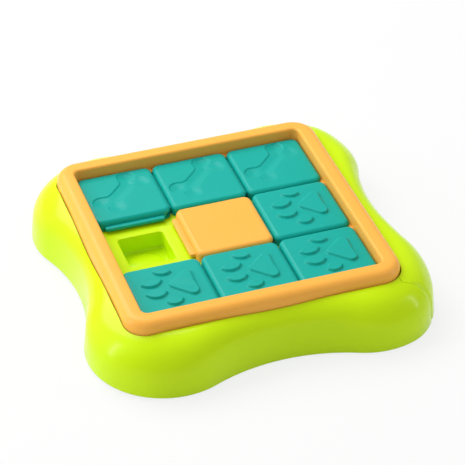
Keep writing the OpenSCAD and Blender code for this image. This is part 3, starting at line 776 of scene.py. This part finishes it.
def trim(piece, x, z, inset):
    """Cuts away what lies inside x, under z or past the flared ends, which are drawn in by inset."""
    half = COVER_HALF - inset / flare_y
    edit(piece)
    for point, out in (((x, 0, 0), (-1, 0, 0)),
                       ((0, 0, z), (0, 0, -1)),
                       ((COVER_X, half, 0), (-flare_x, flare_y, 0)),
                       ((COVER_X, -half, 0), (-flare_x, -flare_y, 0))):
        bpy.ops.mesh.select_all(action="SELECT")
        bpy.ops.mesh.bisect(plane_co=[c * MM for c in point], plane_no=out, use_fill=True,
                            clear_outer=True, threshold=0.001 * MM)
    done(piece)


cover = skin
cover.name = cover.data.name = "cover"
trim(cover, LIP_X, COVER_Z, 0)
under_x, end_y = LIP_X - CUT_IN, LIP_END_Y + COVER_GAP
for half, top in ((CUT_HALF, LIP_END_Z), (end_y, LIP_Z)):
    combine(cover, block("under_lip", (under_x, -half, CUT_UNDER), (COVER_X, half, top)), "DIFFERENCE")
room = sunk("frame_room", (FIELD_X, 0), POCKET_HALF, POCKET_CORNER_R, BASE_TOP, LIP_END_Z - PAST,
            POCKET_EDGE_R, 0)
combine(cover, room, "DIFFERENCE")
hollow = lobed_body("hollow", WALL, RIM_Z, LIP_Z)
trim(hollow, COVER_X - PAST, COVER_Z + WALL, WALL)
combine(cover, hollow, "DIFFERENCE")
for side in (-1, 1):
    low_y, high_y = blade_span(side, 0)
    blade = block("blade", (BLADE_X, low_y, BLADE_Z), (COVER_X + BLADE_ROOT, high_y, BLADE_Z + BLADE_THICK))
    combine(cover, blade, "UNION")
    hanger = block("hanger", (COVER_X - PAST, low_y + HANGER_IN, BLADE_Z + PAST),
                   (COVER_X + BLADE_ROOT - PAST, high_y - HANGER_IN, LIP_Z + HANGER_IN))
    combine(cover, hanger, "UNION")
edit(cover)
done(cover)
cover.data.materials.append(lime)
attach(cover, "cover")
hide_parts("side_cover")

# ---- Floor plate ----
# A flat plate of the same lime ABS closes the base from below. It lies in the recess of the
# underside and is screwed to bosses inside the base.
finish_node("base_floor", lime)

# ---- Floor screws ----
# Six zinc-plated steel screws hold the floor plate to the base's bosses. Their heads are sunk in the
# plate, clear of the ground.


def zinc_steel(name):
    """Zinc-plated steel is dull silver with a soft, slightly uneven shine."""
    material = bpy.data.materials.new(name)
    material.use_nodes = True
    tree = material.node_tree
    shader = tree.nodes["Principled BSDF"]
    shader.inputs["Metallic"].default_value = 1
    place = add_node(tree, "ShaderNodeTexCoord", {}, {}).outputs["Object"]
    spangle = add_node(tree, "ShaderNodeTexNoise", {"Scale": 1500, "Detail": 3}, {"Vector": place})
    tone = add_node(tree, "ShaderNodeMix", {"data_type": "RGBA"}, {})
    tree.links.new(spangle.outputs["Fac"], tone.inputs[MIX_SHARE])
    tone.inputs[MIX_FIRST].default_value = linear("#b4b7ba")
    tone.inputs[MIX_SECOND].default_value = linear("#c9cbcc")
    tree.links.new(tone.outputs[MIX_RESULT], shader.inputs["Base Color"])
    gloss = add_node(tree, "ShaderNodeMapRange", {"To Min": 0.25, "To Max": 0.45},
                     {"Value": spangle.outputs["Fac"]})
    tree.links.new(gloss.outputs["Result"], shader.inputs["Roughness"])
    return material


finish_node("floor_screws", zinc_steel("zinc_plated_steel"))

# ---- Feet ----
# Four round pads of moulded black rubber keep the toy from sliding. Each lies in a shallow recess of
# the floor plate, under a lobe.


def soft_rubber(name):
    """Moulded rubber is near black and matt, with a fine pebbled skin."""
    material = bpy.data.materials.new(name)
    material.use_nodes = True
    tree = material.node_tree
    shader = tree.nodes["Principled BSDF"]
    shader.inputs["IOR"].default_value = 1.52
    place = add_node(tree, "ShaderNodeTexCoord", {}, {}).outputs["Object"]
    pebble = add_node(tree, "ShaderNodeTexNoise", {"Scale": 1200, "Detail": 2}, {"Vector": place})
    tone = add_node(tree, "ShaderNodeMix", {"data_type": "RGBA"}, {})
    tree.links.new(pebble.outputs["Fac"], tone.inputs[MIX_SHARE])
    tone.inputs[MIX_FIRST].default_value = linear("#1d1d1f")
    tone.inputs[MIX_SECOND].default_value = linear("#2a2a2c")
    tree.links.new(tone.outputs[MIX_RESULT], shader.inputs["Base Color"])
    gloss = add_node(tree, "ShaderNodeMapRange", {"To Min": 0.7, "To Max": 0.9},
                     {"Value": pebble.outputs["Fac"]})
    tree.links.new(gloss.outputs["Result"], shader.inputs["Roughness"])
    relief = add_node(tree, "ShaderNodeBump", {"Strength": 0.5, "Distance": 0.1 * MM},
                      {"Height": pebble.outputs["Fac"]})
    tree.links.new(relief.outputs["Normal"], shader.inputs["Normal"])
    return material


finish_node("rubber_feet", soft_rubber("black_rubber"))

# ---- Studio ----
# The toy stands on plain pale paper that shows as white, in an even white surround. One softbox
# hangs overhead and one stands on the left; a tall strip light on each side draws a narrow
# highlight down the front lobes.
FLOOR_DROP = 0.1
# Share of white glow in the paper, for the camera and for reflections alone
GLOW_SHARE = 0.8
bpy.ops.object.select_all(action="DESELECT")
bpy.ops.mesh.primitive_plane_add(size=8, location=(0, 0, -FLOOR_DROP * MM))
floor = bpy.context.object
floor.name = "floor"


def pale_paper(name):
    """Matt paper of a pale grey, white for the camera and in reflections; it keeps its shadows."""
    material = bpy.data.materials.new(name)
    material.use_nodes = True
    tree = material.node_tree
    paper = tree.nodes["Principled BSDF"]
    paper.inputs["Base Color"].default_value = linear("#e6e6e6")
    paper.inputs["Roughness"].default_value = 0.9
    paper.inputs["Specular IOR Level"].default_value = 0
    glow = add_node(tree, "ShaderNodeEmission", {"Color": (1, 1, 1, 1), "Strength": 1}, {})
    path = add_node(tree, "ShaderNodeLightPath", {}, {})
    seen = add_node(tree, "ShaderNodeMath", {"operation": "MAXIMUM"}, {})
    tree.links.new(path.outputs["Is Camera Ray"], seen.inputs[0])
    tree.links.new(path.outputs["Is Glossy Ray"], seen.inputs[1])
    share = add_node(tree, "ShaderNodeMath", {"operation": "MULTIPLY"}, {})
    tree.links.new(seen.outputs["Value"], share.inputs[0])
    share.inputs[1].default_value = GLOW_SHARE
    mix = add_node(tree, "ShaderNodeMixShader", {}, {"Fac": share.outputs["Value"]})
    tree.links.new(paper.outputs["BSDF"], mix.inputs[1])
    tree.links.new(glow.outputs["Emission"], mix.inputs[2])
    tree.links.new(mix.outputs["Shader"], tree.nodes["Material Output"].inputs["Surface"])
    return material


floor.data.materials.append(pale_paper("pale_matt_paper"))

world = bpy.data.worlds.new("studio")
bpy.context.scene.world = world
world.use_nodes = True
surround = world.node_tree.nodes["Background"]
surround.inputs["Color"].default_value = (1, 1, 1, 1)
surround.inputs["Strength"].default_value = 0.44


def softbox(name, place, width, height, power):
    """A rectangular area light that faces the toy; sizes in metres, power in watts."""
    data = bpy.data.lights.new(name, "AREA")
    data.shape = "RECTANGLE"
    data.size = width
    data.size_y = height
    data.energy = power
    lamp = bpy.data.objects.new(name, data)
    bpy.context.collection.objects.link(lamp)
    lamp.location = place
    lamp.rotation_euler = (-Vector(place)).to_track_quat("-Z", "Y").to_euler()


softbox("overhead", place=(-0.38, 0.78, 1.2), width=1.25, height=1.1, power=19.5)
softbox("left", place=(-1.2, 0.35, 0.75), width=1.6, height=1.4, power=4.5)
softbox("left_strip", place=(-1.2, 0.03, 0.42), width=0.06, height=0.8, power=3.4)
softbox("right_strip", place=(1.14, -0.5, 0.45), width=0.06, height=0.8, power=2.6)

# The camera's place and the point it looks at, in metres, and its roll about that line
CAMERA_AT = (-0.4227, -1.2401, 1.0175)
CAMERA_AIM = (-0.0055, 0, 0.0493)
CAMERA_ROLL = radians(-0.231)
view = bpy.data.cameras.new("camera")
camera = bpy.data.objects.new("camera", view)
bpy.context.collection.objects.link(camera)
camera.location = CAMERA_AT
camera.rotation_euler = (Vector(CAMERA_AIM) - camera.location).to_track_quat("-Z", "Y").to_euler()
camera.rotation_euler.rotate_axis("Z", CAMERA_ROLL)
view.lens = 171.2
view.sensor_width = 36
view.shift_x = 0.0183
view.shift_y = -0.0358
bpy.context.scene.camera = camera
bpy.context.scene.view_settings.view_transform = "Standard"
